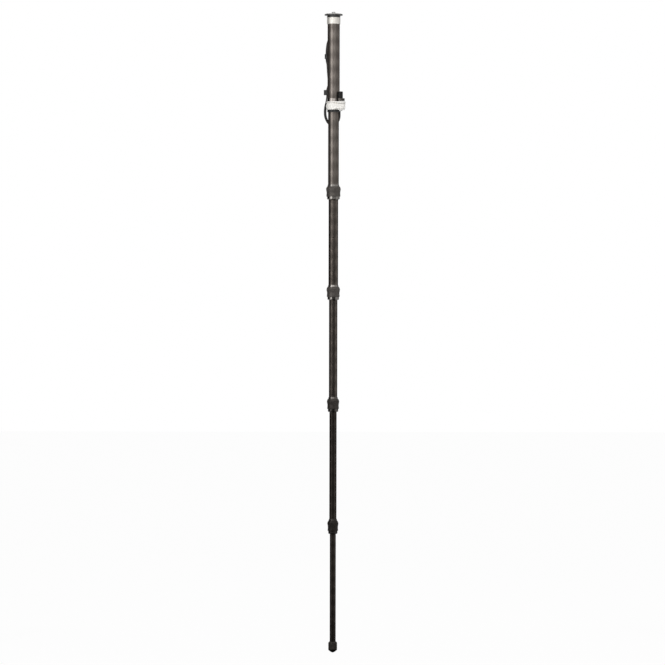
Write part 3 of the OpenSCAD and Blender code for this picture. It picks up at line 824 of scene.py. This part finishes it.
# Dark sheets beside, in front of, above and below the pole, which give its edges and bevels an outline.
# Those that are mirrorOnly show in reflections and throw no shade.
# Corners: two ends of the lower or front edge, then the two ends of the upper or rear edge
flagPlan = [
    {"name": "leftFlag", "colour": 0.01, "mirrorOnly": False,
     "corners": [(-1.0, -0.3, -1.66), (-0.8, 0.7, -1.66), (-1.0, -0.3, 0.6), (-0.8, 0.7, 0.6)]},
    {"name": "rightFlag", "colour": 0.05, "mirrorOnly": False,
     "corners": [(1.0, 0.4, -1.66), (0.8, 0.8, -1.66), (1.0, 0.4, 0.6), (0.8, 0.8, 0.6)]},
    {"name": "lowFlag", "colour": 0.02, "mirrorOnly": False,
     "corners": [(-2.0, -2.0, -1.66), (2.0, -2.0, -1.66), (-2.0, -2.0, -0.4), (2.0, -2.0, -0.4)]},
    {"name": "deckFlag", "colour": 0.02, "mirrorOnly": True,
     "corners": [(-0.5, -0.5, -1.6598), (0.5, -0.5, -1.6598), (-0.5, 0.3, -1.6598), (0.5, 0.3, -1.6598)]},
    {"name": "topFlag", "colour": 0.04, "mirrorOnly": True,
     "corners": [(-0.8, -0.8, 1.2), (0.8, -0.8, 1.2), (-0.8, 0.8, 1.2), (0.8, 0.8, 1.2)]},
]


# 1 for rays from the camera, from gloss and through glass, and 0 for the rest
def seenDirectly(tree):
    rays = tree.nodes.new("ShaderNodeLightPath").outputs
    seen = calc(tree, "MAXIMUM", rays["Is Camera Ray"], rays["Is Glossy Ray"])
    return calc(tree, "MAXIMUM", seen, rays["Is Transmission Ray"])


# Surroundings: white to rays that see them directly, and a weaker light to the rest
def makeSurroundings(plan):
    world = bpy.data.worlds.new("paleStudio")
    world.use_nodes = True
    scene.world = world
    tree = world.node_tree
    setInputs(tree, tree.nodes["Background"], {
        "Color": (1, 1, 1, 1),
        "Strength": spread(tree, seenDirectly(tree), 0.0, 1.0, plan["ambient"], 1.0),
    })


# Matt sheet: one flat face on four corners
def makeSheet(name, corners, colour, rough):
    sheet = meshObject(name, np.array(corners), [(0, 1, 3, 2)])
    material, tree, shader = newMaterial(name)
    setInputs(tree, shader, {"Base Color": (colour, colour, colour, 1), "Roughness": rough,
                             "Specular IOR Level": 0.0})
    paint(sheet, material)
    return sheet, tree, shader


# Floor: a level square under the foot, mostly white to rays that see it directly
def makeFloor(plan):
    reach = plan["floorSize"] / 2
    corners = [(x, y, cadLow.z) for y in (-reach, reach) for x in (-reach, reach)]
    floor, tree, shader = makeSheet("paleFloor", corners, plan["floorColour"], plan["floorRough"])
    glow = tree.nodes.new("ShaderNodeEmission")
    mix = tree.nodes.new("ShaderNodeMixShader")
    white = calc(tree, "MULTIPLY", seenDirectly(tree), plan["floorWhite"])
    setInputs(tree, mix, {"Fac": white, 1: shader.outputs["BSDF"], 2: glow.outputs["Emission"]})
    setInputs(tree, tree.nodes["Material Output"], {"Surface": mix.outputs["Shader"]})


def makeFlag(plan):
    flag = makeSheet(plan["name"], plan["corners"], plan["colour"], 1.0)[0]
    flag.visible_camera = False
    if plan["mirrorOnly"]:
        flag.visible_diffuse = False
        flag.visible_shadow = False


def makeLamp(plan):
    lamp = bpy.data.lights.new(plan["name"], "AREA")
    lamp.shape = "RECTANGLE"
    lamp.size, lamp.size_y = plan["size"]
    lamp.energy = plan["power"]
    piece = bpy.data.objects.new(plan["name"], lamp)
    scene.collection.objects.link(piece)
    piece.visible_camera = False
    piece.visible_glossy = plan["gloss"]
    piece.location = plan["place"]
    aim = Vector(plan["aim"]) - Vector(plan["place"])
    piece.rotation_euler = aim.to_track_quat("-Z", "Y").to_euler()


makeSurroundings(stagePlan)
makeFloor(stagePlan)
for plan in flagPlan:
    makeFlag(plan)
for plan in lampPlan:
    makeLamp(plan)
scene.view_settings.view_transform = "Standard"
print("stage: floor, surroundings,", len(flagPlan), "flags and", len(lampPlan), "lamps")
